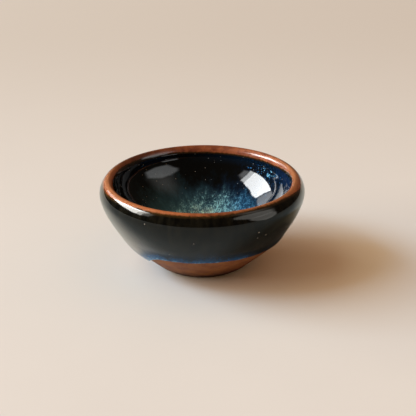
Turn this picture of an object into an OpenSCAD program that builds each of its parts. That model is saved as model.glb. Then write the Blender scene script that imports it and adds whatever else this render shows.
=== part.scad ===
// Low thrown tea bowl: a stoneware body turned to a small foot, coated with a dark glaze
// that breaks brown on the lip, pools in the well and stops in a thick rolled hem above the foot.
// The origin is the middle of the foot, on the table. Sizes are in millimetres and degrees.

/* [Clay bowl] */
// Widest diameter of the clay, at the belly
belly_d = 89.6; // [80:0.2:100]
// Height of the clay lip above the table
bowl_h = 39.7; // [36:0.1:48]
// Depth of the belly's widest line below the lip
shoulder_h = 5.5; // [4:0.1:7]
// How far the crest of the lip stands in from the belly
lip_inset = 3.7; // [2.4:0.1:4.5]
// Width of the lip from its crest to its inner side
lip_w = 2; // [1.2:0.1:2.6]
// Depth of the lip's bevelled inner side below the crest
lip_depth = 2.9; // [2.2:0.1:3.6]
// Angle of the lower flare from upright
flare_angle = 49; // [43:0.5:54]
// Height at which the straight flare turns into the wall
flare_h = 10.4; // [8:0.1:12]
// Bend of the wall: a low value gives a straighter wall with tighter bends at its ends
wall_bend = 0.205; // [0.15:0.005:0.35]
// Angle by which the inside leans out just under the lip, from upright
throat_undercut = 4; // [0:0.5:8]
// Bend of the inside under the lip: a low value turns sooner towards the well
throat_bend = 0.205; // [0.15:0.005:0.3]
// Bend of the inside at the well: a high value gives a wider, flatter well
well_bend = 0.382; // [0.3:0.002:0.44]
// Thickness of the floor in the middle of the well
floor_t = 6; // [4:0.1:8]

/* [Turned foot] */
// Outer diameter of the foot
foot_d = 37.2; // [32:0.2:42]
// Height of the foot's upright side
foot_h = 0.9; // [0.6:0.1:2]
// How far the flare starts outside the foot
foot_step = 1.5; // [0.6:0.1:2.4]
// Width of the ring that the bowl stands on
foot_ring_w = 4.2; // [3:0.1:7]
// Depth of the recess turned inside the ring
foot_recess_h = 2; // [1:0.1:3.5]
// Width of the chamfer on both edges of the ring
foot_chamfer = 0.4; // [0.2:0.05:0.5]
// How far the side of the recess leans in from its edge to its ceiling
recess_lean = 0.8; // [0.2:0.1:1.5]

/* [Glaze coats] */
// Thickness of the coat outside, below the shoulder
outer_glaze_t = 0.6; // [0.4:0.05:0.9]
// Thickness of the thin coat over the lip
lip_glaze_t = 0.3; // [0.2:0.05:0.35]
// Thickness of the coat on the inner wall
inner_glaze_t = 0.5; // [0.4:0.05:0.9]
// Thickness of the pool in the middle of the well
well_glaze_t = 1.3; // [1:0.1:2]
// Diameter of the pool's edge on the clay
well_glaze_d = 62; // [44:1:68]
// How far the lip coat reaches down outside, from the crest
lip_reach_out = 1; // [0.6:0.1:2]
// How far the lip coat reaches down inside, from the crest
lip_reach_in = 2.7; // [1.8:0.1:3.4]

/* [Glaze hem] */
// Height of the lower edge of the hem above the table
hem_h = 15; // [13:0.1:17]
// Height of the hem's upper edge above its lower edge
hem_band = 4.5; // [3:0.1:6]
// Thickness of the hem at its thickest
hem_t = 0.95; // [0.75:0.05:1.4]
// Length along which the hem rounds off at its lower edge
hem_round = 0.8; // [0.5:0.1:1.4]
// Height of the slow waves of the lower edge
hem_wave = 0.3; // [0:0.05:0.6]
// How far the one run of glaze hangs below the hem
run_drop = 6.4; // [2:0.2:8]
// Direction of the run, counted from +X towards +Y
run_angle = 215; // [0:1:359]
// Half width of the run, as an angle round the bowl
run_spread = 16; // [8:1:24]
// Gap between the hem and the clay and coat that it lies on
hem_gap = 0.03; // [0.02:0.01:0.1]

/* [Hidden] */

// Colours of the clay and the coats
clay_colour = "#6b3f2c";
outer_colour = "#15140f";
hem_colour = "#42607a";
lip_colour = "#82452f";
inner_colour = "#10140f";
well_colour = "#5f8f9a";

// Counts of straight pieces in each bend, and of flat sides round the hem
revolve_sides = 128;
short_bend = 8;
long_bend = 16;
inside_bend = 32;
hem_sides = 72;
hem_round_steps = 4;
hem_up_steps = 3;

// Share of a rounded corner's leg at which its curve starts to leave the leg
corner_ease = 0.32;
// Share of the shoulder's own height and inset that its curve keeps straight
shoulder_rise = 0.72;
shoulder_crest = 0.34;

// Slow waves of the hem: turns round the bowl, share of hem_wave and start angle of each
hem_waves = [[2, 0.6, 250], [5, 0.3, 40], [9, 0.2, 110]];

belly_r = belly_d / 2;
belly_h = bowl_h - shoulder_h;
crest_r = belly_r - lip_inset;
foot_r = foot_d / 2;
ring_in_r = foot_r - foot_ring_w;
floor_h = foot_recess_h + floor_t;
well_r = well_glaze_d / 2;
hem_top_h = hem_h + hem_band;

// Unit vectors in the section plane: up the flare, and up the inside under the lip
flare_up = [sin(flare_angle), cos(flare_angle)];
throat_up = [-sin(throat_undercut), cos(throat_undercut)];

// Point on a cubic curve from a to d with handles b and c, and the whole curve in n pieces
function on_curve(a, b, c, d, t) =
    pow(1 - t, 3) * a + 3 * t * pow(1 - t, 2) * b + 3 * t * t * (1 - t) * c + pow(t, 3) * d;
function curve(a, b, c, d, n) = [for (i = [0:n]) on_curve(a, b, c, d, i / n)];

// The list without its first point, to chain curves that share an end
function tail(list) = [for (i = [1:len(list) - 1]) list[i]];

// Corner points of the section
foot_side = [foot_r, foot_chamfer];
flare_foot = [foot_r + foot_step, foot_h];
flare_start = flare_foot + foot_step * flare_up;
flare_end = flare_foot + (flare_h - foot_h) / flare_up[1] * flare_up;
belly = [belly_r, belly_h];
crest = [crest_r, bowl_h];
throat = [crest_r - lip_w, bowl_h - lip_depth];
well_mid = [0, floor_h];

wall_handle = wall_bend * norm(belly - flare_end);
inside_span = norm(throat - well_mid);

// Section of the clay's outside, from the foot up to the crest of the lip
cove = curve(foot_side, [foot_r, foot_h], flare_foot, flare_start, short_bend);
outer_wall = curve(flare_end, flare_end + wall_handle * flare_up,
                   belly - [0, wall_handle], belly, long_bend);
shoulder = curve(belly, belly + [0, shoulder_rise * shoulder_h],
                 crest + [shoulder_crest * lip_inset, 0], crest, long_bend);
outside = concat(cove, outer_wall, tail(shoulder));

// Section of the clay's inside, from the crest down to the middle of the well
lip_turn = curve(crest, crest - [corner_ease * lip_w, 0],
                 throat + corner_ease * lip_depth * throat_up, throat, short_bend);
inner_wall = curve(throat, throat - throat_bend * inside_span * throat_up,
                   well_mid + [well_bend * inside_span, 0], well_mid, inside_bend);
inside = concat(lip_turn, tail(inner_wall));

// Direction out of the clay at point i of a section, square to its neighbours
function unit(v) = v / norm(v);
function out_at(side, i) =
    let (step = side[min(i + 1, len(side) - 1)] - side[max(i - 1, 0)])
    unit([step[1], -step[0]]);
outside_outs = concat([for (i = [0:len(outside) - 2]) out_at(outside, i)], [[0, 1]]);
inside_outs = concat([[0, 1]], [for (i = [1:len(inside) - 2]) out_at(inside, i)], [[0, 1]]);

// Radius, and direction out of the clay, at height z on a section
function radius_at(side, z) = lookup(z, [for (p = side) [p[1], p[0]]]);
function way_at(side, ways, z) =
    unit([for (axis = [0, 1]) lookup(z, [for (i = [0:len(side) - 1]) [side[i][1], ways[i][axis]]])]);
function height_at(side, r) = lookup(r, [for (p = side) [p[0], p[1]]]);

// Smooth step from 0 to 1
function ease(x) = let (u = min(max(x, 0), 1)) u * u * (3 - 2 * u);

// Points of a section from height z0 to height z1, each with its direction out of the clay
function stretch(side, ways, z0, z1) =
    let (low = min(z0, z1), high = max(z0, z1),
         heights = concat([z0], [for (p = side) if (p[1] > low && p[1] < high) p[1]], [z1]))
    [for (z = heights) [[radius_at(side, z), z], way_at(side, ways, z)]];

// Heights where one coat ends and the next begins
lip_out_h = bowl_h - lip_reach_out;
lip_in_h = bowl_h - lip_reach_in;
pool_h = height_at(inner_wall, well_r);

// Thickness of the outer coat at height z, of the inner coat at height z, of the pool at radius r
function outer_t(z) =
    lip_glaze_t + (outer_glaze_t - lip_glaze_t) * ease((lip_out_h - z) / shoulder_h);
function inner_t(z) =
    lip_glaze_t + (inner_glaze_t - lip_glaze_t) * ease((lip_in_h - z) / shoulder_h);
function pool_t(r) =
    inner_t(pool_h) + (well_glaze_t - inner_t(pool_h)) * ease(1 - r / well_r);

// Ring of glaze between a stretch of the clay's section and the same stretch lifted by thicks
module coat(path, thicks) {
    last = len(path) - 1;
    face = [for (i = [0:last]) path[i][0] + thicks[i] * path[i][1]];
    rotate_extrude($fn = revolve_sides)
        polygon(concat([for (p = path) p[0]], [for (i = [last:-1:0]) face[i]]));
}

// Thrown and turned clay: wall, lip, floor and foot ring are one piece
module clay_body() {
    underside = [
        [0, foot_recess_h],
        [ring_in_r - recess_lean, foot_recess_h],
        [ring_in_r, foot_chamfer],
        [ring_in_r + foot_chamfer, 0],
        [foot_r - foot_chamfer, 0],
    ];
    color(clay_colour)
        rotate_extrude($fn = revolve_sides)
            polygon(concat(underside, outside, tail(inside)));
}

// Dark coat outside, from the hem up to the brown lip
module outer_glaze() {
    path = stretch(outside, outside_outs, hem_top_h, lip_out_h);
    color(outer_colour) coat(path, [for (p = path) outer_t(p[0][1])]);
}

// Thin coat over the lip, where the glaze ran off and broke brown
module lip_glaze() {
    over = concat(stretch(outside, outside_outs, lip_out_h, bowl_h),
                  tail(stretch(inside, inside_outs, bowl_h, lip_in_h)));
    color(lip_colour) coat(over, [for (p = over) lip_glaze_t]);
}

// Dark coat on the inner wall, from the lip down to the edge of the pool
module inner_glaze() {
    path = stretch(inside, inside_outs, lip_in_h, pool_h);
    color(inner_colour) coat(path, [for (p = path) inner_t(p[0][1])]);
}

// Pool of glaze in the well, thickest in the middle
module well_glaze() {
    path = stretch(inside, inside_outs, pool_h, floor_h);
    color(well_colour) coat(path, [for (p = path) pool_t(p[0][0])]);
}

// Height of the hem's lower edge in direction a: level, with slow waves and one run
function angle_between(a, b) = abs((a - b + 540) % 360 - 180);
function wave_at(a) =
    hem_wave * [for (w = hem_waves) w[1] * sin(w[0] * a + w[2])] * [for (w = hem_waves) 1];
function hem_edge(a) =
    hem_h + wave_at(a) - run_drop * exp(-pow(angle_between(a, run_angle) / run_spread, 2));

// Heights above the lower edge at which the hem of height span is cut, close together in its round
function hem_cuts(span) = concat(
    [for (i = [0:hem_round_steps]) hem_round * (1 - cos(90 * i / hem_round_steps))],
    [for (i = [1:hem_up_steps]) hem_round + (span - hem_round) * i / hem_up_steps]
);

// Thickness of the hem at height up above its edge: a quarter round, then down to the coat's own
function hem_thick(up, span) =
    up < hem_round
    ? hem_t * sqrt(1 - pow(1 - up / hem_round, 2))
    : hem_t + (outer_t(hem_top_h) - hem_t) * ease((up - hem_round) / (span - hem_round));

// Closed outline of the hem in direction a: up its back on the clay, then down its face
function hem_outline(a) =
    let (edge = hem_edge(a),
         span = hem_top_h - hem_gap - edge,
         cuts = hem_cuts(span),
         ways = [for (up = cuts) way_at(outside, outside_outs, edge + up)],
         back = [for (i = [0:len(cuts) - 1])
             [radius_at(outside, edge + cuts[i]), edge + cuts[i]] + hem_gap * ways[i]],
         face = [for (i = [len(cuts) - 1:-1:1])
             back[i] + hem_thick(cuts[i], span) * ways[i]])
    concat(back, face);

// Rolled lower hem with its run, laid round the clay
module glaze_hem() {
    corners = len(hem_outline(0));
    // The flat sides bridge the round clay, so their corners stand out for their middles to touch
    clear = 1 / cos(180 / hem_sides);
    points = [for (s = [0:hem_sides - 1]) let (a = 360 * s / hem_sides)
        for (p = hem_outline(a)) [p[0] * clear * cos(a), p[0] * clear * sin(a), p[1]]];
    function at(s, c) = (s % hem_sides) * corners + c % corners;
    faces = [for (s = [0:hem_sides - 1]) for (c = [0:corners - 1])
        for (half = [0, 1]) half == 0
            ? [at(s, c), at(s, c + 1), at(s + 1, c)]
            : [at(s + 1, c), at(s, c + 1), at(s + 1, c + 1)]];
    color(hem_colour) polyhedron(points, faces);
}

clay_body();
outer_glaze();
glaze_hem();
lip_glaze();
inner_glaze();
well_glaze();
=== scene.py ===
"""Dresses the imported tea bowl: thrown clay, dark glaze coats, rolled hem, brown lip and crystal pool.

Sizes are in millimetres and MM turns them into Blender's metres. Angles in sizes are degrees,
counted from +X towards +Y, so -90 is the side that faces the camera.
"""
import math

import bpy
import numpy as np
from mathutils import Matrix, Vector


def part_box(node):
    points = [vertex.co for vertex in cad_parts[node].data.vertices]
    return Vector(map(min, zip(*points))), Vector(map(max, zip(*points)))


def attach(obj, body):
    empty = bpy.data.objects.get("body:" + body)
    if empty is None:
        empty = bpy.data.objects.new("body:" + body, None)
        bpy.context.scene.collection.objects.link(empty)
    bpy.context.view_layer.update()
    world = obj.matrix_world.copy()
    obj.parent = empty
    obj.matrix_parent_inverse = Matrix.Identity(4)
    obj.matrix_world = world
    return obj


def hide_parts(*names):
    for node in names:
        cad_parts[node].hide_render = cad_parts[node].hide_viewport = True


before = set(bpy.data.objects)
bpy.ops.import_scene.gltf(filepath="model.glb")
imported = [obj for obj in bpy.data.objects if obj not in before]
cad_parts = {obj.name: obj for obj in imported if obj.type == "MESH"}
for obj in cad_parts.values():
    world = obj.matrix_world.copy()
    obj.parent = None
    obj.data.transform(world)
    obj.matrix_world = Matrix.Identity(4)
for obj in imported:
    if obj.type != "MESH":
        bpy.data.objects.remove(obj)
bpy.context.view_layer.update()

MM = 0.001


def box_mm(node):
    """Lowest and highest corner of a CAD node, in millimetres."""
    return [np.array(corner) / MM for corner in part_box(node)]


# Sizes that the frame gives
clay_high = box_mm("clay_body")[1].tolist()
BELLY_R = clay_high[0]
BOWL_H = clay_high[2]
HEM_TOP_H = box_mm("glaze_hem")[1][2]

# Sizes of the thrown section, as the clay was turned, and the shares that bend its curves
SHOULDER_H = 5.5
LIP_INSET = 3.7
LIP_W = 2.0
LIP_DEPTH = 2.9
FLARE_ANGLE = 49
FLARE_H = 10.4
WALL_BEND = 0.205
THROAT_UNDERCUT = 4
THROAT_BEND = 0.205
WELL_BEND = 0.382
FLOOR_T = 6.0
FOOT_R = 18.6
FOOT_H = 0.9
FOOT_STEP = 1.5
FOOT_RING_W = 4.2
FOOT_RECESS_H = 2.0
FOOT_ROUND = 0.4
RECESS_LEAN = 0.8
RECESS_RIM_HANDLE = (0.5, 0)
RECESS_FOOT_HANDLE = (-0.2, 0.9)
CORNER_EASE = 0.32
SHOULDER_RISE = 0.72
SHOULDER_CREST = 0.34

# Sizes of the glaze coats
OUTER_GLAZE_T = 0.6
LIP_GLAZE_T = 0.3
INNER_GLAZE_T = 0.5
WELL_GLAZE_T = 1.3
WELL_R = 31
LIP_REACH_OUT = 1.0
LIP_REACH_IN = 2.7
HEM_H = 15.0
HEM_T = 0.95
HEM_ROUND = 0.8
HEM_WAVE = 0.3
# Slow and fine waves of the hem: how many go round the bowl, share of HEM_WAVE and start angle
HEM_WAVES = ((2, 0.6, 250), (5, 0.3, 40), (9, 0.2, 110), (23, 0.22, 0), (41, 0.16, 74.5))
RUN_DROP = 6.4
RUN_ANGLE = 215
RUN_SPREAD = 16

# Counts and steps of the grids, and of the curves in the section
COLUMNS = 288
HEM_ROUND_ROWS = 10
HEM_ROWS = 12
ROW_STEP = 0.38
LIP_ROW_STEP = 0.12
SKIN_STEP = 0.45
FOOT_STEPS = 24
FLARE_STEPS = 39
WALL_STEPS = 120
SHOULDER_STEPS = 80
LIP_STEPS = 60
WELL_STEPS = 260
RECESS_STEPS = 39
RECESS_BEND_STEPS = 10
FOOT_ROUND_STEPS = 6

# Faces of the clay that meet at more than this angle are shaded as an edge
SHARP_ANGLE = 40

# Least length that a direction is divided by, so that a face without area does no harm
TINY = 1e-30

# How far a hand-thrown bowl strays from a true turn, inwards and down, and where each wave starts
OVAL = 0.0012
OVAL_START = 40.1
LIP_SAG = 0.12
SAG_START = 126.05

# Faint throwing rings in the glaze, inside and outside, and the lengths over which they fade
RING_PITCH = 8.4
RING_DEPTH = 0.004
RING_DEPTH_OUT = 0.008
RING_DRIFT = 114.6
RING_FADE_LIP = 6
RING_FADE_WELL = 8
RING_FADE_OUT = 4
RING_START_OUT = 3

# Hollow under the lip inside, flat that the sponge left outside it, and bead along its inner edge
HOLLOW_H = 35.0
HOLLOW_REACH = 3.3
HOLLOW_DEPTH = 0.17
HOLLOW_ANGLE = 4
FLAT_H = 37.3
FLAT_DEPTH = 0.24
FLAT_FALL = 14.0
BEAD_H = 38.6
BEAD_RISE = 0.08
BEAD_REACH = 1.3

# Turning marks on the bare clay, up the flare and in the foot's recess
MARK_DEPTH = 0.025
MARK_PITCH = 1.9
MARK_START = 2.5
MARK_FADE_LOW = 2
MARK_END = 1
MARK_FADE_HIGH = 3
RECESS_MARK_DEPTH = 0.03
RECESS_MARK_PITCH = 1.3
RECESS_MARK_FADE = 2


def cubic(a, b, c, d, steps):
    """Points on the cubic curve from a to d with handles b and c: the corners times the four
    Bernstein weights of t, for even steps of t from 0 to 1."""
    a, b, c, d = (np.asarray(corner, float) for corner in (a, b, c, d))
    t = np.linspace(0, 1, steps + 1)[:, None]
    return (1 - t) ** 3 * a + 3 * t * (1 - t) ** 2 * b + 3 * t ** 2 * (1 - t) * c + t ** 3 * d


def ease(x):
    """Smooth step from 0 to 1: 3 u squared minus 2 u cubed, with u held between 0 and 1."""
    u = np.clip(x, 0, 1)
    return u * u * (3 - 2 * u)


def hump(off):
    """Cosine bell: half of 1 plus the cosine of pi times off, with off held between -1 and 1."""
    return (1 + np.cos(np.pi * np.clip(off, -1, 1))) / 2


def leaning(angle):
    """Direction in the section, as radius and height, that leans outwards from upright by an angle."""
    lean = math.radians(angle)
    return np.array([math.sin(lean), math.cos(lean)])


# Directions and corner points of the clay's section, as radius and height, and two lengths in it
flare_up = leaning(FLARE_ANGLE)
throat_up = leaning(-THROAT_UNDERCUT)
foot_side = np.array([FOOT_R, FOOT_ROUND])
flare_foot = np.array([FOOT_R + FOOT_STEP, FOOT_H])
flare_start = flare_foot + FOOT_STEP * flare_up
flare_end = flare_foot + (FLARE_H - FOOT_H) / flare_up[1] * flare_up
belly = np.array([BELLY_R, BOWL_H - SHOULDER_H])
crest = np.array([BELLY_R - LIP_INSET, BOWL_H])
throat = crest - [LIP_W, LIP_DEPTH]
well_mid = np.array([0, FOOT_RECESS_H + FLOOR_T])
wall_handle = WALL_BEND * np.linalg.norm(belly - flare_end)
inside_span = np.linalg.norm(throat - well_mid)

# The clay's section as one path: up the outside, over the crest and down into the well
outside = np.vstack([
    cubic(foot_side, [FOOT_R, FOOT_H], flare_foot, flare_start, FOOT_STEPS),
    np.linspace(flare_start, flare_end, FLARE_STEPS + 1)[1:],
    cubic(flare_end, flare_end + wall_handle * flare_up,
          belly - [0, wall_handle], belly, WALL_STEPS)[1:],
    cubic(belly, belly + [0, SHOULDER_RISE * SHOULDER_H],
          crest + [SHOULDER_CREST * LIP_INSET, 0], crest, SHOULDER_STEPS)[1:],
])
inside = np.vstack([
    cubic(crest, crest - [CORNER_EASE * LIP_W, 0],
          throat + CORNER_EASE * LIP_DEPTH * throat_up, throat, LIP_STEPS),
    cubic(throat, throat - THROAT_BEND * inside_span * throat_up,
          well_mid + [WELL_BEND * inside_span, 0], well_mid, WELL_STEPS)[1:],
])
section = np.vstack([outside, inside[1:]])
path_at = np.concatenate([[0], np.cumsum(np.hypot(*np.diff(section, axis=0).T))])
along = np.gradient(section, path_at, axis=0)
out_of_clay = np.stack([along[:, 1], -along[:, 0]], -1)
out_of_clay /= np.linalg.norm(out_of_clay, axis=1)[:, None]
outside_at = path_at[:len(outside)]
inside_at = path_at[len(outside) - 1:]
crest_path = inside_at[0]
well_end = inside_at[-1]


def outside_path(height):
    """Path length at which the outside of the clay has this height."""
    return np.interp(height, outside[:, 1], outside_at)


def inside_path(height):
    """Path length at which the inside of the clay has this height."""
    return np.interp(height, inside[::-1, 1], inside_at[::-1])


# Path lengths where one coat ends and the next begins
hem_top = outside_path(HEM_TOP_H)
lip_out = outside_path(BOWL_H - LIP_REACH_OUT)
lip_in = inside_path(BOWL_H - LIP_REACH_IN)
pool_edge = np.interp(WELL_R, inside[::-1, 0], inside_at[::-1])

# Angles of the grid's columns
turn = np.arange(COLUMNS) * 2 * np.pi / COLUMNS


def on_section(path):
    """Radius, height and the two parts of the outward direction at path lengths on the section."""
    values = (section[:, 0], section[:, 1], out_of_clay[:, 0], out_of_clay[:, 1])
    return [np.interp(path, path_at, value) for value in values]


def hem_edge_height(angle):
    """Height of the hem's lower edge: level, plus a sum of sines of the angle, less one run, which is
    a bell: e to the minus square of the angle from its middle over its spread."""
    away = (np.degrees(angle) - RUN_ANGLE + 540) % 360 - 180
    waves = sum(share * np.sin(turns * angle + math.radians(start))
                for turns, share, start in HEM_WAVES)
    return HEM_H + HEM_WAVE * waves - RUN_DROP * np.exp(-(away / RUN_SPREAD) ** 2)


def coat_thickness(path):
    """Thickness of the coat: thin on the lip, easing to its full depth outside and inside, and
    swelling towards the middle of the well."""
    radius, height = on_section(path)[:2]
    outer = LIP_GLAZE_T + (OUTER_GLAZE_T - LIP_GLAZE_T) * ease(
        (BOWL_H - LIP_REACH_OUT - height) / SHOULDER_H)
    inner = LIP_GLAZE_T + (INNER_GLAZE_T - LIP_GLAZE_T) * ease(
        (BOWL_H - LIP_REACH_IN - height) / SHOULDER_H)
    pool = np.where(path > pool_edge, ease(1 - radius / WELL_R), 0)
    inner = inner + (WELL_GLAZE_T - INNER_GLAZE_T) * pool
    return np.where(path < crest_path, outer, inner)


def lip_flat(path):
    """Depth of the flat that the wet sponge left outside the lip: a cosine bell, deepest at its own
    height, which ends in the crest above and a longer way down the wall below."""
    off = path - outside_path(FLAT_H)
    off = np.where(off > 0, off / (crest_path - outside_path(FLAT_H)), off / FLAT_FALL)
    return FLAT_DEPTH * hump(off)


def lip_bead(path):
    """Height of the fine bead along the inside of the lip: a cosine bell of the path."""
    return BEAD_RISE * hump((path - inside_path(BEAD_H)) / BEAD_REACH)


def throwing_rings(path, angle):
    """Finger rings in the glaze face: slow and faint sines along the path whose phase drifts round
    the bowl, and inside, under the lip, a shallow hollow on the right that turns into a swelling on
    the left: a cosine bell of height times the cosine of the angle times that cosine's own size."""
    height = on_section(path)[1]
    slow = np.sin(2 * np.pi * path / RING_PITCH + math.radians(RING_DRIFT) * np.sin(angle))
    inner = ease((path - lip_in) / RING_FADE_LIP) * ease((well_end - path) / RING_FADE_WELL)
    outer = (ease((lip_out - RING_START_OUT - path) / RING_FADE_OUT)
             * ease((path - hem_top) / RING_FADE_OUT))
    rings = (RING_DEPTH * inner + RING_DEPTH_OUT * outer) * slow
    turned = np.cos(angle - math.radians(HOLLOW_ANGLE))
    hollow = (path > crest_path) * hump((height - HOLLOW_H) / HOLLOW_REACH) * turned * np.abs(turned)
    return rings - HOLLOW_DEPTH * hollow


def hand_thrown(radius, height, angle):
    """Points of a true turn made a little uneven: the radius shrinks by an oval that grows with
    height, and the height sags by a slow wave that grows with its square. Returns x, y, z."""
    lift = height / BOWL_H
    radius = radius * (1 - OVAL * lift * (1 + np.sin(2 * angle + math.radians(OVAL_START))))
    height = height - LIP_SAG * lift ** 2 * (1 + np.sin(angle + math.radians(SAG_START))) / 2
    return np.stack([radius * np.cos(angle), radius * np.sin(angle), height], -1)


def rows_between(start, end, step):
    """Even path lengths from start to end, about step apart, as a column."""
    count = int(math.ceil((end - start) / step))
    return np.linspace(start, end, count + 1)[:, None]


# Path lengths of the glaze face's grid, row by row: hem, outside, lip, inside and well
edge_path = outside_path(hem_edge_height(turn))[None, :]
span = hem_top - edge_path
round_up = HEM_ROUND * (1 - np.cos(np.linspace(0, np.pi / 2, HEM_ROUND_ROWS + 1)))[:, None]
share_up = np.linspace(0, 1, HEM_ROWS + 1)[1:, None]
hem_up = np.vstack([round_up + 0 * span, HEM_ROUND + (span - HEM_ROUND) * share_up])
hem_rows = edge_path + hem_up
bands = [
    ("outer", rows_between(hem_top, lip_out, ROW_STEP)),
    ("lip", rows_between(lip_out, lip_in, LIP_ROW_STEP)),
    ("inner", rows_between(lip_in, pool_edge, ROW_STEP)),
    ("well", rows_between(pool_edge, well_end, ROW_STEP)),
]
grid_path = np.vstack([hem_rows] + [rows[1:] + 0 * turn for name, rows in bands])
grid_turn = np.broadcast_to(turn, grid_path.shape)
hem_count = len(hem_rows)
row_range = {"hem": (0, hem_count)}
for name, rows in bands:
    first = max(end for start, end in row_range.values()) - 1
    row_range[name] = (first, first + len(rows))

# Thickness of the hem: a quarter round at its edge, then easing up to the coat above it
hem_thick = np.where(
    hem_up < HEM_ROUND,
    HEM_T * np.sqrt(np.clip(1 - (1 - hem_up / HEM_ROUND) ** 2, 0, 1)),
    HEM_T + (coat_thickness(hem_top) - HEM_T) * ease((hem_up - HEM_ROUND) / (span - HEM_ROUND)),
)
grid_thick = np.vstack([hem_thick, coat_thickness(grid_path[hem_count:])])

# The clay's face under the glaze and the glaze's own face, on the same grid
grid_r, grid_z, grid_out_r, grid_out_z = on_section(grid_path)
clay_face = hand_thrown(grid_r, grid_z, grid_turn)
face_lift = grid_thick + throwing_rings(grid_path, grid_turn)
face_lift += lip_bead(grid_path) - lip_flat(grid_path)
glaze_face = hand_thrown(grid_r + face_lift * grid_out_r, grid_z + face_lift * grid_out_z, grid_turn)
glaze_face[-1, :, :2] = 0
clay_face[-1, :, :2] = 0

# Directions out of the glaze's face: across the columns crossed with along the rows
across_columns = np.roll(glaze_face, -1, 1) - np.roll(glaze_face, 1, 1)
along_rows = np.gradient(glaze_face, axis=0)
glaze_out = np.cross(across_columns, along_rows)
glaze_out[-1] = (0, 0, 1)
glaze_out /= np.linalg.norm(glaze_out, axis=2)[:, :, None]


def shell(name, rows, loop, poles, face_out=None, attributes=()):
    """A closed mesh through a grid of rows and columns: neighbouring points become quads, columns
    wrap round the bowl, a loop joins the last row to the first, and a pole row is one point.
    face_out gives the shading direction of each point, or nan where faces stay flat."""
    count, columns = rows.shape[:2]
    index = np.arange(count * columns).reshape(count, columns)
    for row, is_pole in zip((0, -1), poles):
        if is_pole:
            index[row] = index[row, 0]
    lower = index if loop else index[:-1]
    upper = np.roll(index, -1, 0) if loop else index[1:]
    quads = np.stack([lower, np.roll(lower, -1, 1), np.roll(upper, -1, 1), upper], -1).reshape(-1, 4)
    from_pole = quads[:, 0] == quads[:, 1]
    to_pole = quads[:, 2] == quads[:, 3]
    triangles = np.vstack([quads[from_pole][:, [0, 2, 3]], quads[to_pole][:, [0, 1, 2]]])
    quads = quads[~from_pole & ~to_pole]
    used, compact = np.unique(np.concatenate([quads.ravel(), triangles.ravel()]), return_inverse=True)
    quads = compact[:quads.size].reshape(-1, 4)
    triangles = compact[quads.size:].reshape(-1, 3)
    points = rows.reshape(-1, 3)[used] * MM
    mesh = bpy.data.meshes.new(name)
    mesh.from_pydata(points, [], quads.tolist() + triangles.tolist())
    mesh.polygons.foreach_set("use_smooth", np.ones(len(mesh.polygons), bool))
    for attribute, values in attributes:
        layer = mesh.attributes.new(attribute, "FLOAT", "POINT")
        layer.data.foreach_set("value", values.reshape(-1)[used].astype(np.float32))
    if face_out is None:
        mesh.set_sharp_from_angle(angle=math.radians(SHARP_ANGLE))
    else:
        shade_with(mesh, face_out.reshape(-1, 3)[used], quads, triangles)
    mesh.validate()
    piece = bpy.data.objects.new(name, mesh)
    bpy.context.scene.collection.objects.link(piece)
    return piece


def shade_with(mesh, out, quads, triangles):
    """Sets the shading directions: a face whose corners all have one uses theirs, and any other
    face uses its own, the cross product of its diagonals or edges."""
    points = np.empty(len(mesh.vertices) * 3)
    mesh.vertices.foreach_get("co", points)
    points = points.reshape(-1, 3)
    loops = []
    for faces in (quads, triangles):
        if len(faces):
            corner = points[faces]
            flat = np.cross(corner[:, 2] - corner[:, 0], corner[:, -1] - corner[:, 1])
            flat /= np.maximum(np.linalg.norm(flat, axis=1), TINY)[:, None]
            own = out[faces]
            smooth = ~np.isnan(own).any(axis=(1, 2))
            loops.append(np.where(smooth[:, None, None], own, flat[:, None, :]).reshape(-1, 3))
    mesh.normals_split_custom_set(np.vstack(loops).tolist())


def coat(name, band):
    """One glaze coat: its rows of the glaze face, then the same rows of the clay's face back to
    the start. The pool's rows meet in the axis instead, and the hem's meet in its lower edge."""
    start, end = row_range[band]
    face, back = glaze_face[start:end], clay_face[start:end][::-1]
    out, path = glaze_out[start:end], grid_path[start:end]
    above = path - edge_path
    hidden = np.full_like(out, np.nan)
    if band == "well":
        rows, face_out = np.vstack([back, face]), np.vstack([hidden, out])
        values = [np.vstack([value[::-1], value]) for value in (path, above)]
        return shell(name, rows, False, (True, True), face_out,
                     zip(("path", "above_hem"), values))
    shared = 1 if band == "hem" else 0
    back = back[:len(back) - shared]
    rows, face_out = np.vstack([face, back]), np.vstack([out, hidden[shared:]])
    values = [np.vstack([value, value[::-1][:len(back)]]) for value in (path, above)]
    return shell(name, rows, True, (False, False), face_out, zip(("path", "above_hem"), values))


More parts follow.
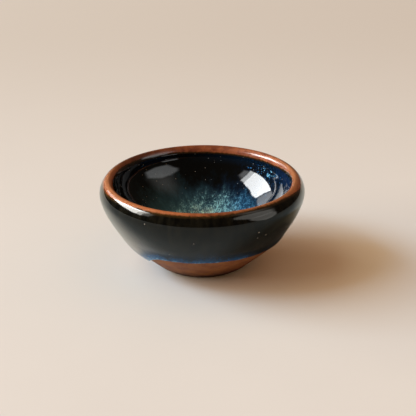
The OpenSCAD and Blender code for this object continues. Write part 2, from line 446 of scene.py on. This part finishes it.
def clay_piece(name):
    """The thrown body: its section from the middle of the foot's recess, round the foot ring, up
    the outside, over the lip and down to the middle of the well, turned round the axis. Turning
    marks, sines of the path and of the radius, ripple the flare and the recess."""
    ring_in = FOOT_R - FOOT_RING_W
    quarter = np.linspace(0, np.pi / 2, FOOT_ROUND_STEPS + 1)
    recess = np.array([0, FOOT_RECESS_H])
    recess_rim = np.array([ring_in - RECESS_LEAN, FOOT_RECESS_H])
    inner_edge = np.stack([ring_in + FOOT_ROUND * (1 - np.cos(quarter)),
                           FOOT_ROUND * (1 - np.sin(quarter))], -1)
    outer_edge = np.stack([FOOT_R - FOOT_ROUND * (1 - np.sin(quarter)),
                           FOOT_ROUND * (1 - np.cos(quarter))], -1)
    underside = np.vstack([
        np.linspace(recess, recess_rim, RECESS_STEPS + 1),
        cubic(recess_rim, recess_rim + RECESS_RIM_HANDLE,
              inner_edge[0] + RECESS_FOOT_HANDLE, inner_edge[0], RECESS_BEND_STEPS)[1:],
        inner_edge[1:],
        outer_edge,
    ])
    skin = np.arange(0, well_end, SKIN_STEP)
    skin_r, skin_z, skin_out_r, skin_out_z = on_section(skin)
    bare = (ease((skin - MARK_START) / MARK_FADE_LOW)
            * ease((outside_path(HEM_H) - MARK_END - skin) / MARK_FADE_HIGH))
    marks = MARK_DEPTH * bare * np.sin(2 * np.pi * skin / MARK_PITCH)
    skin_r, skin_z = skin_r + marks * skin_out_r, skin_z + marks * skin_out_z
    under_r, under_z = underside.T
    under_z = under_z + (RECESS_MARK_DEPTH * np.sin(2 * np.pi * under_r / RECESS_MARK_PITCH)
                         * ease((recess_rim[0] - under_r) / RECESS_MARK_FADE))
    radius = np.concatenate([under_r, skin_r[1:], [0]])
    height = np.concatenate([under_z, skin_z[1:], [well_mid[1]]])
    rows = hand_thrown(radius[:, None] + 0 * turn, height[:, None] + 0 * turn, turn[None, :])
    return shell(name, rows, False, (True, True))


def linear(code):
    """A colour written as #rrggbb, as the linear red, green, blue and alpha that a shader takes."""
    values = [int(code[i:i + 2], 16) / 255 for i in (1, 3, 5)]
    return (*[v / 12.92 if v <= 0.04045 else ((v + 0.055) / 1.055) ** 2.4 for v in values], 1.0)


class Value:
    """A number that a look works out at each place. Arithmetic with it adds Math nodes."""

    def __init__(self, look, socket):
        self.look = look
        self.socket = socket

    def __add__(self, other):
        return self.look.math("ADD", self, other)

    def __radd__(self, other):
        return self.look.math("ADD", other, self)

    def __sub__(self, other):
        return self.look.math("SUBTRACT", self, other)

    def __rsub__(self, other):
        return self.look.math("SUBTRACT", other, self)

    def __mul__(self, other):
        return self.look.math("MULTIPLY", self, other)

    def __rmul__(self, other):
        return self.look.math("MULTIPLY", other, self)

    def __truediv__(self, other):
        return self.look.math("DIVIDE", self, other)

    def __abs__(self):
        return self.look.math("ABSOLUTE", self)


# Where the colours lie: how far the brown reaches below the crest, and the middle of the crystals
BROWN_REACH_OUT = 0.5
BROWN_REACH_IN = 2.5
POOL_X = 5.0
POOL_Y = 8.0

# How the gloss of the glazes behaves
GLAZE_IOR = 1.46
OUTER_IOR = 1.42
OUTER_TINT = (1.0, 0.94, 0.85, 1.0)
EDGE_GLOSS = 0.56
EDGE_TINT = (1.0, 0.82, 0.68, 1.0)
EDGE_START = 0.47
EDGE_FULL = 0.93
PEEL_SIZE = 0.7
PEEL_DEPTH = 0.004


class Look:
    """One material, built node by node. What a method works out comes back as a Value where it is a
    number, and otherwise as the output socket. Lengths are in millimetres and angles in degrees."""

    def __init__(self, name):
        self.material = bpy.data.materials.new(name)
        self.material.use_nodes = True
        self.tree = self.material.node_tree
        self.tree.nodes.clear()
        place = self.add("ShaderNodeTexCoord").outputs["Object"]
        self.place = self.scaled(place, 1 / MM)
        parts = self.add("ShaderNodeSeparateXYZ", {0: self.place}).outputs
        self.x, self.y, self.z = (Value(self, part) for part in parts)
        flat = self.add("ShaderNodeCombineXYZ", {0: self.x, 1: self.y}).outputs[0]
        length = self.add("ShaderNodeVectorMath", {0: flat}, operation="LENGTH")
        self.r = Value(self, length.outputs["Value"])
        self.angle = self.math("DEGREES", self.math("ARCTAN2", self.y, self.x))
        self.round = self.add("ShaderNodeVectorMath", {0: flat}, operation="NORMALIZE").outputs[0]

    def add(self, kind, inputs=(), **settings):
        """A new node with these settings. Each input is a Value or a socket to link, or a constant."""
        node = self.tree.nodes.new(kind)
        for key, value in settings.items():
            setattr(node, key, value)
        for key, value in dict(inputs).items():
            if isinstance(value, Value):
                value = value.socket
            if isinstance(value, bpy.types.NodeSocket):
                self.tree.links.new(value, node.inputs[key])
            else:
                node.inputs[key].default_value = value
        return node

    def math(self, operation, a, b=0.0):
        """One step of arithmetic on Values and plain numbers."""
        return Value(self, self.add("ShaderNodeMath", {0: a, 1: b}, operation=operation).outputs[0])

    def scaled(self, vector, factor):
        """The vector times a number."""
        inputs = {0: vector, "Scale": factor}
        return self.add("ShaderNodeVectorMath", inputs, operation="SCALE").outputs[0]

    def attribute(self, name):
        """A number that the mesh holds at each of its points."""
        return Value(self, self.add("ShaderNodeAttribute", attribute_name=name).outputs["Fac"])

    def rise(self, value, low, high, top=1.0):
        """Smooth step of value from 0 at low to top at high; low may be the larger one."""
        inputs = {0: value, 1: low, 2: high, 4: top}
        step = self.add("ShaderNodeMapRange", inputs, interpolation_type="SMOOTHSTEP")
        return Value(self, step.outputs[0])

    def bell(self, value, middle, width):
        """1 where value is at middle, falling smoothly to 0 at width on both sides."""
        return self.rise(abs(value - middle), width, 0.0)

    def noise(self, vector, size, detail=2.0, roughness=0.5, distortion=0.0):
        """Smooth noise from 0 to 1 whose blobs are about size millimetres across."""
        inputs = {"Vector": vector, "Scale": 1 / size, "Detail": detail, "Roughness": roughness,
                  "Distortion": distortion}
        return Value(self, self.add("ShaderNodeTexNoise", inputs).outputs[0])

    def specks(self, spacing, luck, fade):
        """Scattered round specks, 1 in their middles. Each cell of about spacing millimetres has a
        random number from 0 to 1: its speck grows from none to full between the two numbers of luck.
        It fades out from the second distance of fade to the first, in cells."""
        cells = self.add("ShaderNodeTexVoronoi", {"Vector": self.place, "Scale": 1 / spacing}).outputs
        number = self.add("ShaderNodeSeparateColor", {0: cells["Color"]}).outputs[0]
        return self.rise(number, *luck) * self.rise(cells["Distance"], *fade)

    def mix(self, share, a, b):
        """Colour a where share is 0 and colour b where it is 1. Each is a socket or #rrggbb."""
        a, b = (linear(colour) if isinstance(colour, str) else colour for colour in (a, b))
        return self.add("ShaderNodeMix", {0: share, 6: a, 7: b}, data_type="RGBA").outputs[2]

    def flow(self, stretch, radius=25.0):
        """A place that follows the glaze as it ran: round the bowl on a circle of that radius, and
        along the path squeezed by stretch, so noise read there is drawn out downhill."""
        ring = self.scaled(self.round, radius)
        lift = self.add("ShaderNodeCombineXYZ", {2: self.attribute("path") * stretch}).outputs[0]
        return self.add("ShaderNodeVectorMath", {0: ring, 1: lift}, operation="ADD").outputs[0]

    def level_lines(self):
        """A place that changes only with height and radius, so noise read there is level lines."""
        return self.add("ShaderNodeCombineXYZ", {0: self.r, 2: self.z}).outputs[0]

    def bump(self, height, distance, strength=1.0, under=None):
        """Shading direction of a face that height, times distance in millimetres, makes uneven. It
        starts from the direction under, or else from the face's own."""
        inputs = {"Height": height, "Distance": distance * MM, "Strength": strength}
        if under is not None:
            inputs["Normal"] = under
        return self.add("ShaderNodeBump", inputs).outputs[0]

    def surface(self, edge_gloss=None, **inputs):
        """Ends the material in a Principled shader with these inputs. A share of edge_gloss of the
        light is mirrored besides where the face is seen at a flat angle."""
        named = {key.replace("_", " "): value for key, value in inputs.items()}
        shader = self.add("ShaderNodeBsdfPrincipled", named)
        if edge_gloss is not None:
            gloss = {key: inputs[key] for key in ("Roughness", "Normal")}
            mirror = self.add("ShaderNodeBsdfGlossy", {"Color": EDGE_TINT, **gloss})
            facing = self.add("ShaderNodeLayerWeight", {"Normal": inputs["Normal"]}).outputs["Facing"]
            share = self.rise(facing, EDGE_START, EDGE_FULL, edge_gloss)
            both = {0: share, 1: shader.outputs[0], 2: mirror.outputs[0]}
            shader = self.add("ShaderNodeMixShader", both)
        self.add("ShaderNodeOutputMaterial", {0: shader.outputs[0]})
        return self.material


def above_lip_line(look):
    """Height above the ragged line where the brown of the lip ends. Inside, the line is high on the
    left and on the right. Outside, it is highest on the right of the front, lower on the left and
    lowest from the right round the back. At 180 degrees, on the left, the outer line has a step."""
    side = abs(look.angle)
    right_dip = 1.8 * look.rise(look.angle, -36.0, 4.0)
    left_dip = 1.1 * look.rise(side, 125.0, 178.0)
    front_rise = 0.35 * look.bell(look.angle, -52.0, 36.0)
    outer_line = (BOWL_H - BROWN_REACH_OUT + front_rise) - (right_dip + left_dip)
    inner_rise = look.bell(side, 152.0, 80.0) + look.bell(side, 0.0, 36.0)
    inner_line = BOWL_H - BROWN_REACH_IN + 1.6 * inner_rise
    is_outer = look.rise(look.r, crest[0] - 0.1, crest[0] + 0.2)
    line = inner_line + is_outer * (outer_line - inner_line)
    ragged = 0.8 * (look.noise(look.place, 1.6, detail=4.0, roughness=0.6) - 0.5)
    return look.z - line + ragged


def broken_brown(look, dark):
    """The dark colour, turned to olive and then to rust where the glaze thins over the lip. The
    second output is the share of rust."""
    above = above_lip_line(look)
    share = look.rise(above, -0.2, 0.4)
    fringe = look.mix(look.rise(above, -1.1, 0.1), dark, "#38280f")
    return look.mix(share, fringe, rust(look)), share


def rust(look):
    """Colour of the broken lip: rust brown in patches with darker grains, and paler tan along the
    crest, where the glaze is thinnest, with more of it at both sides, which is painted light. It is
    lighter and more orange on the front left, a painted highlight, and darker on the back left."""
    patches = look.noise(look.place, 3.2, detail=4.0, roughness=0.6)
    brown = look.mix(look.rise(patches, 0.35, 0.65), "#6d3017", "#95532f")
    # Pale tan on the crest: thin glaze all round, and painted light where it grows at both sides
    painted_light_sides = look.rise(abs(look.x), 2.0, 26.0) * look.rise(look.y, 32.0, 12.0)
    at_crest = look.rise(look.z, BOWL_H - 1.3, BOWL_H)
    brown = look.mix(at_crest * (0.1 + 0.5 * painted_light_sides), brown, "#b0764c")
    # Lighter, more orange patch on the front left of the lip: a painted highlight
    painted_glint_front_left = look.bell(look.angle, -118.0, 40.0)
    brown = look.mix(0.45 * painted_glint_front_left, brown, "#ba6a3a")
    back_left = look.bell(look.angle, 138.0, 44.0)
    brown = look.mix(0.75 * back_left, brown, "#46220f")
    grains = look.rise(look.noise(look.place, 0.35), 0.56, 0.7)
    return look.mix(0.35 * grains, brown, "#54301f")


def black_glaze(look):
    """Colour of the dark coat: black with a breath of olive in drawn-out streaks, and a few pale
    specks."""
    streaks = look.noise(look.flow(0.3, 40.0), 2.2, detail=4.0, roughness=0.6)
    dark = look.mix(look.rise(streaks, 0.35, 0.7), "#050504", "#171610")
    specks = look.specks(3.4, luck=(0.76, 0.8), fade=(0.13, 0.06))
    return look.mix(specks, dark, "#8c8b86")


def near_run(look):
    """1 round the run of the hem, falling to 0 on both sides."""
    return look.rise(abs(look.angle + (360.0 - RUN_ANGLE)), 34.0, 8.0)


def hem_blue(look, dark):
    """The dark colour turned blue towards the hem's edge, in drawn-out patches: a wide dark haze, a
    clear blue near the edge and pale spots on it. The blue is widest round the run. From the right of
    the front round the back it is narrower, up to a step at 180 degrees, and on the right of the bowl
    only a faint haze is left."""
    at_run = near_run(look)
    to_right = look.rise(look.angle, -85.0, -50.0)
    off_right = look.rise(abs(look.angle + 10.0), 36.0, 60.0)
    streaks = look.noise(look.flow(0.45, 35.0), 1.7, detail=4.0, roughness=0.62) - 0.5
    patches = look.noise(look.place, 5.0) - 0.5
    reach = (5.0 - 2.0 * to_right) + (4.6 * at_run + 6.0 * patches)
    share = (look.attribute("above_hem") + 4.6 * streaks) / reach
    haze = look.rise(share, 1.7, 0.4) * (0.5 + 0.5 * off_right)
    blue = look.mix(haze, dark, "#10243a")
    clear = look.rise(share, 0.8, 0.1) * (0.6 * off_right + 0.4 * at_run)
    blue = look.mix(clear, blue, "#17558f")
    spots = share + (look.noise(look.place, 0.8) - 0.5) - 0.12 * at_run
    pale = look.rise(spots, 0.22, -0.2) * ((0.85 - 0.5 * to_right) * off_right)
    return look.mix(pale, blue, "#84bcd6")


def hem_gloss(look):
    """Share of edge gloss outside: full on the wall and none at the hem's edge and round its run."""
    above = look.attribute("above_hem") - 3.5 * near_run(look)
    return EDGE_GLOSS * look.rise(above, 1.0, 6.5)


def glassy(look, ripple_size, ripple):
    """Bump of a glaze face: slow ripples of the melt and a faint orange peel."""
    slow = look.bump(look.noise(look.place, ripple_size, detail=1.0), ripple)
    return look.bump(look.noise(look.place, PEEL_SIZE, detail=1.0), PEEL_DEPTH, under=slow)


def outer_finish():
    """Black glossy coat outside: brown where it thins at the lip, blue towards the hem."""
    look = Look("black_iron_glaze")
    colour = broken_brown(look, hem_blue(look, black_glaze(look)))[0]
    streaks = look.noise(look.flow(0.3, 44.0), 1.5, detail=3.0, roughness=0.6)
    runs = look.bump(streaks, 0.02, under=glassy(look, 5.0, 0.03))
    return look.surface(hem_gloss(look), Base_Color=colour, Roughness=0.07, IOR=OUTER_IOR,
                        Specular_Tint=OUTER_TINT, Normal=runs)


def hem_finish():
    """Thick glossy hem, blue to pale blue at its edge."""
    look = Look("blue_hem_glaze")
    return look.surface(hem_gloss(look), Base_Color=hem_blue(look, black_glaze(look)), Roughness=0.12,
                        IOR=OUTER_IOR, Normal=glassy(look, 3.0, 0.04))


def lip_finish():
    """Thin brown coat over the lip: satin where it is brown, under a thin clear gloss."""
    look = Look("rust_lip_glaze")
    colour, brown = broken_brown(look, black_glaze(look))
    return look.surface(Base_Color=colour, Roughness=0.08 + 0.4 * brown, IOR=GLAZE_IOR,
                        Specular_IOR_Level=0.25, Coat_Weight=1.0, Coat_Roughness=0.06,
                        Coat_IOR=GLAZE_IOR, Normal=glassy(look, 2.5, 0.02))


def crystals(look, dark):
    """The dark colour with the pool's crystals on it: grains and veins drawn out downhill in clumps,
    close together in the middle and scarce up the wall, over a deep blue glow and a thin mist of
    their own colour. They are straw on the left, blue-green in the middle and blue on the right."""
    across = look.x - POOL_X
    back = 1.13 * (look.y - POOL_Y)
    away = look.math("SQRT", across * across + back * back)
    flames = look.noise(look.flow(0.45), 3.0, detail=4.0, roughness=0.65) - 0.5
    reach = away + 16.0 * flames
    chance = look.rise(reach, 26.0, 9.0)
    clumps = look.rise(look.noise(look.place, 2.4), 0.36, 0.64)
    fine = look.noise(look.flow(0.8), 0.62, roughness=0.6) + 0.2 * chance
    grain = look.rise(fine + 0.1 * clumps, 0.64, 0.84)
    bend = look.noise(look.flow(0.8), 1.7, detail=3.0, roughness=0.6, distortion=0.5) - 0.5
    vein = look.rise(abs(bend), 0.05, 0.0) * (0.65 * clumps)
    light = look.math("MAXIMUM", grain, vein) * look.rise(chance, 0.0, 0.3)
    hue = look.x + 12.0 * flames
    tint = look.mix(look.rise(hue, 8.0, 19.0), "#98dce8", "#4c93c2")
    straw = look.rise(hue, 9.0, -3.0) * look.rise(reach, 20.0, 11.0)
    tint = look.mix(straw, tint, "#cfe2be")
    deep = look.mix(look.rise(hue, -6.0, 14.0), "#2e5266", "#143252")
    to_left = 8.0 * look.rise(look.x, 6.0, -22.0)
    glow = look.mix(look.rise(reach - to_left, 30.0, 14.0), dark, deep)
    mist = look.mix(0.2 * chance, glow, tint)
    return look.mix(light, mist, tint)


def flecks(look, dark):
    """The dark colour with fine blue mottling on the right of the wall, and a cluster of bright blue
    flecks high on it."""
    right = look.rise(look.x, 12.0, 32.0) * look.rise(look.z, 22.0, 31.0)
    mottle = look.rise(look.noise(look.place, 0.9, detail=3.0, roughness=0.65), 0.5, 0.68) * right
    dark = look.mix(0.45 * mottle, dark, "#163a66")
    cluster = look.bell(look.angle, 36.0, 26.0) * look.bell(look.z, 32.4, 4.4)
    spots = look.noise(look.place, 1.2, detail=1.0, distortion=1.2) + 0.18 * cluster
    edge = look.rise(spots, 0.74, 0.8) * look.rise(cluster, 0.0, 0.2)
    blue = look.mix(edge, dark, "#1f6ebc")
    return look.mix(look.rise(spots, 0.78, 0.84) * cluster, blue, "#8fdcf4")


def dust(look, dark):
    """The dark colour with scattered fine grey specks."""
    specks = look.specks(1.5, luck=(0.68, 0.76), fade=(0.19, 0.04))
    return look.mix(0.7 * specks, dark, "#a9b0b4")


def inner_colour(look):
    """Colour inside: olive black on the left, navy on the right and under the back of the lip, bluest
    at the right of the rim, with flecks, dust and the crystals of the pool."""
    cloud = 14.0 * look.noise(look.place, 5.0, detail=4.0)
    to_right = look.rise(look.x + cloud, 26.0, 50.0)
    behind = look.rise(look.x + look.y + cloud, 30.0, 60.0)
    under_lip = look.rise(look.z, 31.5, 36.0) * behind
    base = look.mix(look.math("MAXIMUM", to_right, under_lip), "#070706", "#071524")
    right_rim = look.rise(look.x, 31.0, 38.0) * look.rise(look.z, 30.0, 35.0)
    base = look.mix(right_rim, base, "#101f3c")
    return crystals(look, flecks(look, dust(look, base)))


def inner_finish():
    """Black to navy glossy coat on the inner wall, brown at the lip."""
    look = Look("night_blue_glaze")
    colour = broken_brown(look, inner_colour(look))[0]
    return look.surface(Base_Color=colour, Roughness=0.05, IOR=GLAZE_IOR,
                        Normal=glassy(look, 6.0, 0.006))


def well_finish():
    """Glossy pool of crystals."""
    look = Look("crystal_pool_glaze")
    return look.surface(Base_Color=inner_colour(look), Roughness=0.06, IOR=GLAZE_IOR,
                        Normal=glassy(look, 6.0, 0.006))


def clay_finish():
    """Unglazed stoneware: red brown with darker grog, turning lines and a satin skin, with painted
    shade that darkens it towards the foot."""
    look = Look("bare_stoneware")
    patches = look.noise(look.place, 5.0, detail=4.0, roughness=0.6)
    brown = look.mix(look.rise(patches, 0.3, 0.7), "#784321", "#945b2c")
    grog = look.rise(look.noise(look.place, 0.4), 0.58, 0.72)
    brown = look.mix(0.4 * grog, brown, "#3d2416")
    # Darker towards the foot, where it meets the floor: painted shade
    painted_foot_shade = look.rise(look.z + 3.0 * (patches - 0.5), 6.0, 0.5)
    brown = look.mix(0.9 * painted_foot_shade, brown, "#2a160c")
    lines = look.noise(look.level_lines(), 0.5)
    height = look.noise(look.place, 0.35, detail=3.0, roughness=0.6) + 0.7 * lines
    return look.surface(Base_Color=brown, Roughness=0.6, IOR=1.4, Normal=look.bump(height, 0.05, 0.6))


def floor_finish():
    """Matt pale paper, faintly clouded, with painted shade that darkens it towards the back of the
    stage.
    """
    look = Look("pale_paper")
    cloud = look.mix(look.noise(look.place, 60.0, detail=3.0), "#d5d8da", "#d9dcde")
    # Darker towards the back of the stage: painted shade where the light falls off
    colour = look.mix(look.rise(look.y, -50.0, 420.0), cloud, "#c6c5c2")
    return look.surface(Base_Color=colour, Roughness=0.85, Specular_IOR_Level=0.0)


# Point in the bowl that the lamps and panels stand round, their distances from it, and half the
# floor's width, in metres
GLOSS_MIDDLE = Vector((0, 0, 0.02))
LAMP_DISTANCE = 5.0
WINDOW_DISTANCE = 1.4
CARD_DISTANCE = 0.088
FLOOR_HALF = 3.0

# Colours of the light, red, green and blue
COOL_LIGHT = (0.97, 0.99, 1.0)
WARM_LIGHT = (1.0, 0.98, 0.93)
DAY_COLOUR = (0.58, 0.82, 1.0)
LOW_COLOUR = (1.0, 0.83, 0.64)
HIGH_COLOUR = (1.0, 0.92, 0.6)
ROOM_ON_MATT = (0.5, 0.26, 0.125)
ROOM_IN_GLOSS = (0.05, 0.045, 0.036)
ROOM_SEEN = (0.64, 0.55, 0.46)


def towards(azimuth, elevation):
    """Direction with that azimuth, counted from +Y towards +X, and elevation, both in degrees."""
    a, e = np.radians(azimuth), np.radians(elevation)
    return np.stack([np.sin(a) * np.cos(e), np.cos(a) * np.cos(e), np.sin(e)], -1)


def lamp(name, azimuth, elevation, spread, radiance, colour, tilt=0):
    """A soft rectangular lamp that faces the bowl and lights its matt colour. Spread is the width
    and height that the bowl sees, in degrees, and tilt turns the lamp in its own plane."""
    data = bpy.data.lights.new(name, "AREA")
    data.shape = "RECTANGLE"
    data.size, data.size_y = 2 * LAMP_DISTANCE * np.tan(np.radians(spread) / 2)
    data.energy = radiance * math.pi * data.size * data.size_y
    data.color = colour
    way = Vector(towards(azimuth, elevation))
    facing = way.to_track_quat("Z", "Y").to_matrix() @ Matrix.Rotation(math.radians(tilt), 3, "Z")
    lamp_object = bpy.data.objects.new(name, data)
    lamp_object.location = GLOSS_MIDDLE + LAMP_DISTANCE * way
    lamp_object.rotation_euler = facing.to_euler()
    lamp_object.visible_glossy = False
    bpy.context.scene.collection.objects.link(lamp_object)


def window(name, corners, radiance, colour, softness, distance=WINDOW_DISTANCE):
    """A bright clear panel that only gloss shows: a fan of triangles from the mean of its corners,
    which are directions from the bowl, as azimuth and elevation. Its light rises from 0 at the rim to
    full over softness, a share of the way to its middle."""
    rim = towards(*np.array(corners, float).T)
    middle = rim.mean(axis=0)
    points = np.vstack([middle / np.linalg.norm(middle), rim]) * distance + np.array(GLOSS_MIDDLE)
    around = np.arange(len(rim))
    fan = np.stack([0 * around, around + 1, (around + 1) % len(rim) + 1], -1)
    mesh = bpy.data.meshes.new(name)
    mesh.from_pydata(points, [], fan.tolist())
    inward = mesh.attributes.new("inward", "FLOAT", "POINT")
    inward.data.foreach_set("value", (np.arange(len(points)) == 0).astype(np.float32))
    look = Look(name)
    strength = look.rise(look.attribute("inward"), 0.0, softness, radiance)
    shine = look.add("ShaderNodeEmission", {"Color": (*colour, 1), "Strength": strength})
    clear = look.add("ShaderNodeBsdfTransparent")
    both = look.add("ShaderNodeAddShader", {0: shine.outputs[0], 1: clear.outputs[0]})
    look.add("ShaderNodeOutputMaterial", {0: both.outputs[0]})
    mesh.materials.append(look.material)
    panel = bpy.data.objects.new(name, mesh)
    panel.visible_camera = panel.visible_diffuse = panel.visible_shadow = False
    bpy.context.scene.collection.objects.link(panel)


def studio():
    """Pale floor, soft lamps on the left for the matt colours, bright windows on the left and dim
    ones on the right for the gloss, and a warm room."""
    mesh = bpy.data.meshes.new("floor")
    corners = FLOOR_HALF * np.array([(-1, -1, 0), (1, -1, 0), (1, 1, 0), (-1, 1, 0)])
    mesh.from_pydata(corners, [], [(0, 1, 2, 3)])
    floor = bpy.data.objects.new("floor", mesh)
    bpy.context.scene.collection.objects.link(floor)
    floor.data.materials.append(floor_finish())
    lamp("day_lamp", -84, 35, (40, 16), radiance=13.6, colour=DAY_COLOUR, tilt=25)
    lamp("low_lamp", -83, 17, (60, 14), radiance=11.6, colour=LOW_COLOUR)
    lamp("high_lamp", -88, 56, (60, 22), radiance=1.6, colour=HIGH_COLOUR)
    window("day_window",
           [(-99.5, 45.5), (-99.5, 22.5), (-81, 22), (-55, 20),
            (-60, 29), (-61, 37), (-70, 42), (-80, 43)],
           radiance=22.0, colour=COOL_LIGHT, softness=0.06)
    window("day_blind",
           [(-107.5, 46.5), (-107, 22.6), (-97.5, 22.5), (-97.5, 45.5)],
           radiance=12.0, colour=COOL_LIGHT, softness=0.2)
    window("day_curtain",
           [(-119, 43), (-117, 26), (-105, 22.5), (-105, 47)],
           radiance=2.4, colour=COOL_LIGHT, softness=0.6)
    window("day_sill",
           [(-56, 36), (-61, 34), (-59, 28), (-54, 19), (-47, 17), (-39, 13.5), (-36, 20), (-42, 30)],
           radiance=3.2, colour=COOL_LIGHT, softness=0.15)
    window("side_window",
           [(88, 28), (92, 15), (112, 15), (132, 19), (147, 33), (145, 40), (129, 45), (107, 42)],
           radiance=1.8, colour=COOL_LIGHT, softness=0.3)
    window("side_card",
           [(143, 22), (142, 15), (135, 9), (126, 5), (119, 6), (113, 10), (113, 18), (117, 22)],
           radiance=1.8, colour=COOL_LIGHT, softness=0.2, distance=CARD_DISTANCE)
    window("side_room",
           [(76, 44), (84, 22), (120, 24), (140, 42), (134, 64), (92, 72)],
           radiance=0.7, colour=WARM_LIGHT, softness=1.0)
    room()


def room():
    """The room round the stage: warm light on matt faces, dim in gloss, and pale where it is seen."""
    world = bpy.data.worlds.new("room")
    bpy.context.scene.world = world
    world.use_nodes = True
    nodes, links = world.node_tree.nodes, world.node_tree.links
    ray = nodes.new("ShaderNodeLightPath").outputs
    light = nodes.new("ShaderNodeMix")
    light.data_type = "RGBA"
    light.inputs[6].default_value = (*ROOM_ON_MATT, 1)
    light.inputs[7].default_value = (*ROOM_IN_GLOSS, 1)
    links.new(ray["Glossy Depth"], light.inputs[0])
    seen = nodes.new("ShaderNodeMix")
    seen.data_type = "RGBA"
    seen.inputs[7].default_value = (*ROOM_SEEN, 1)
    links.new(ray["Is Camera Ray"], seen.inputs[0])
    links.new(light.outputs[2], seen.inputs[6])
    links.new(seen.outputs[2], nodes["Background"].inputs["Color"])


# The camera, at the photograph's viewing angle
CAMERA_TARGET = Vector((2.48, 0, 25.25)) * MM
CAMERA_DISTANCE = 585 * MM
CAMERA_ELEVATION = 22.52
CAMERA_ROLL = -0.67
CAMERA_LENS = 114.3


def camera():
    """A long-lens camera that looks down at the bowl from the front, rolled a little."""
    e, roll = math.radians(CAMERA_ELEVATION), math.radians(CAMERA_ROLL)
    back = Vector((0, -math.cos(e), math.sin(e)))
    level, upright = Vector((1, 0, 0)), Vector((0, math.sin(e), math.cos(e)))
    right = math.cos(roll) * level + math.sin(roll) * upright
    up = math.cos(roll) * upright - math.sin(roll) * level
    data = bpy.data.cameras.new("camera")
    data.lens = CAMERA_LENS
    view = bpy.data.objects.new("camera", data)
    turned = Matrix((right, up, back)).transposed().to_4x4()
    view.matrix_world = Matrix.Translation(CAMERA_TARGET + CAMERA_DISTANCE * back) @ turned
    bpy.context.scene.collection.objects.link(view)
    bpy.context.scene.camera = view


def dress(piece, node, finish):
    """The piece rides on the one body, stands for its CAD node and wears its finish."""
    piece.data.materials.append(finish)
    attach(piece, "root")
    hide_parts(node)


dress(clay_piece("thrown_clay"), "clay_body", clay_finish())
dress(coat("outer_coat", "outer"), "outer_glaze", outer_finish())
dress(coat("hem_roll", "hem"), "glaze_hem", hem_finish())
dress(coat("lip_coat", "lip"), "lip_glaze", lip_finish())
dress(coat("inner_coat", "inner"), "inner_glaze", inner_finish())
dress(coat("well_pool", "well"), "well_glaze", well_finish())
studio()
camera()
bpy.context.scene.view_settings.view_transform = "Standard"
